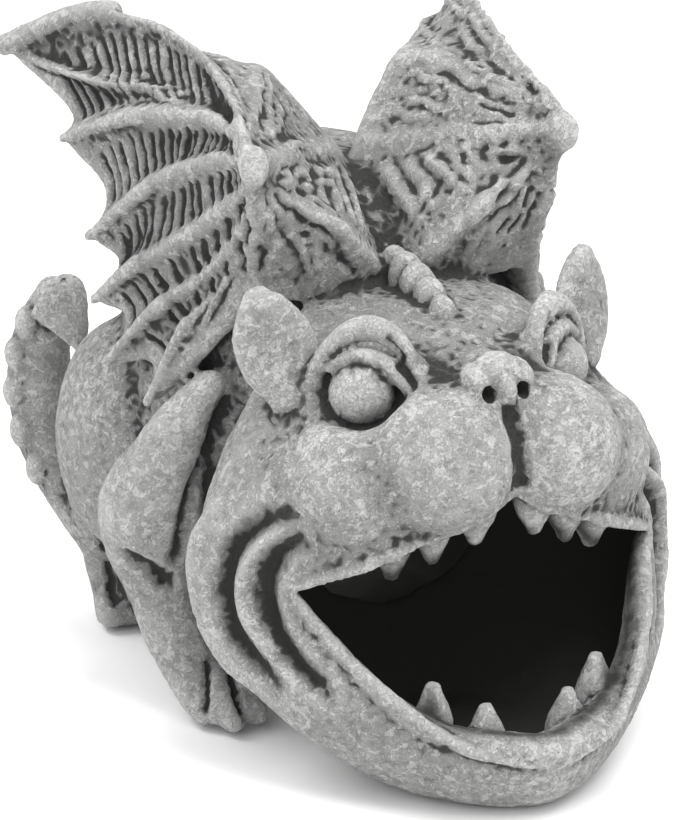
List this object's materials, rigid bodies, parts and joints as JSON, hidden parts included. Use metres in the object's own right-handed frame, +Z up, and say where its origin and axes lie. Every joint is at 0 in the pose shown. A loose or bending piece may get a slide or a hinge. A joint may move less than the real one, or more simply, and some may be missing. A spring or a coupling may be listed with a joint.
{
  "type": "stone gargoyle",
  "caption": "Crouching winged gargoyle cast hollow in stone, with a gaping mouth for the water and a flat-rimmed pipe socket in its rump.",
  "frame": {"origin": "on the ground, under the middle of the box around the whole beast", "axes": "+Z up, the beast faces -Y and its right side is -X"},
  "size_m": [0.204, 0.2944, 0.2523],
  "materials": {
    "weathered_stone": "weathered grey cast stone, chalky on the raised grain and dark in the hollows"
  },
  "bodies": {
    "root": {"gargoyle": "weathered_stone"}
  },
  "joints": []
}
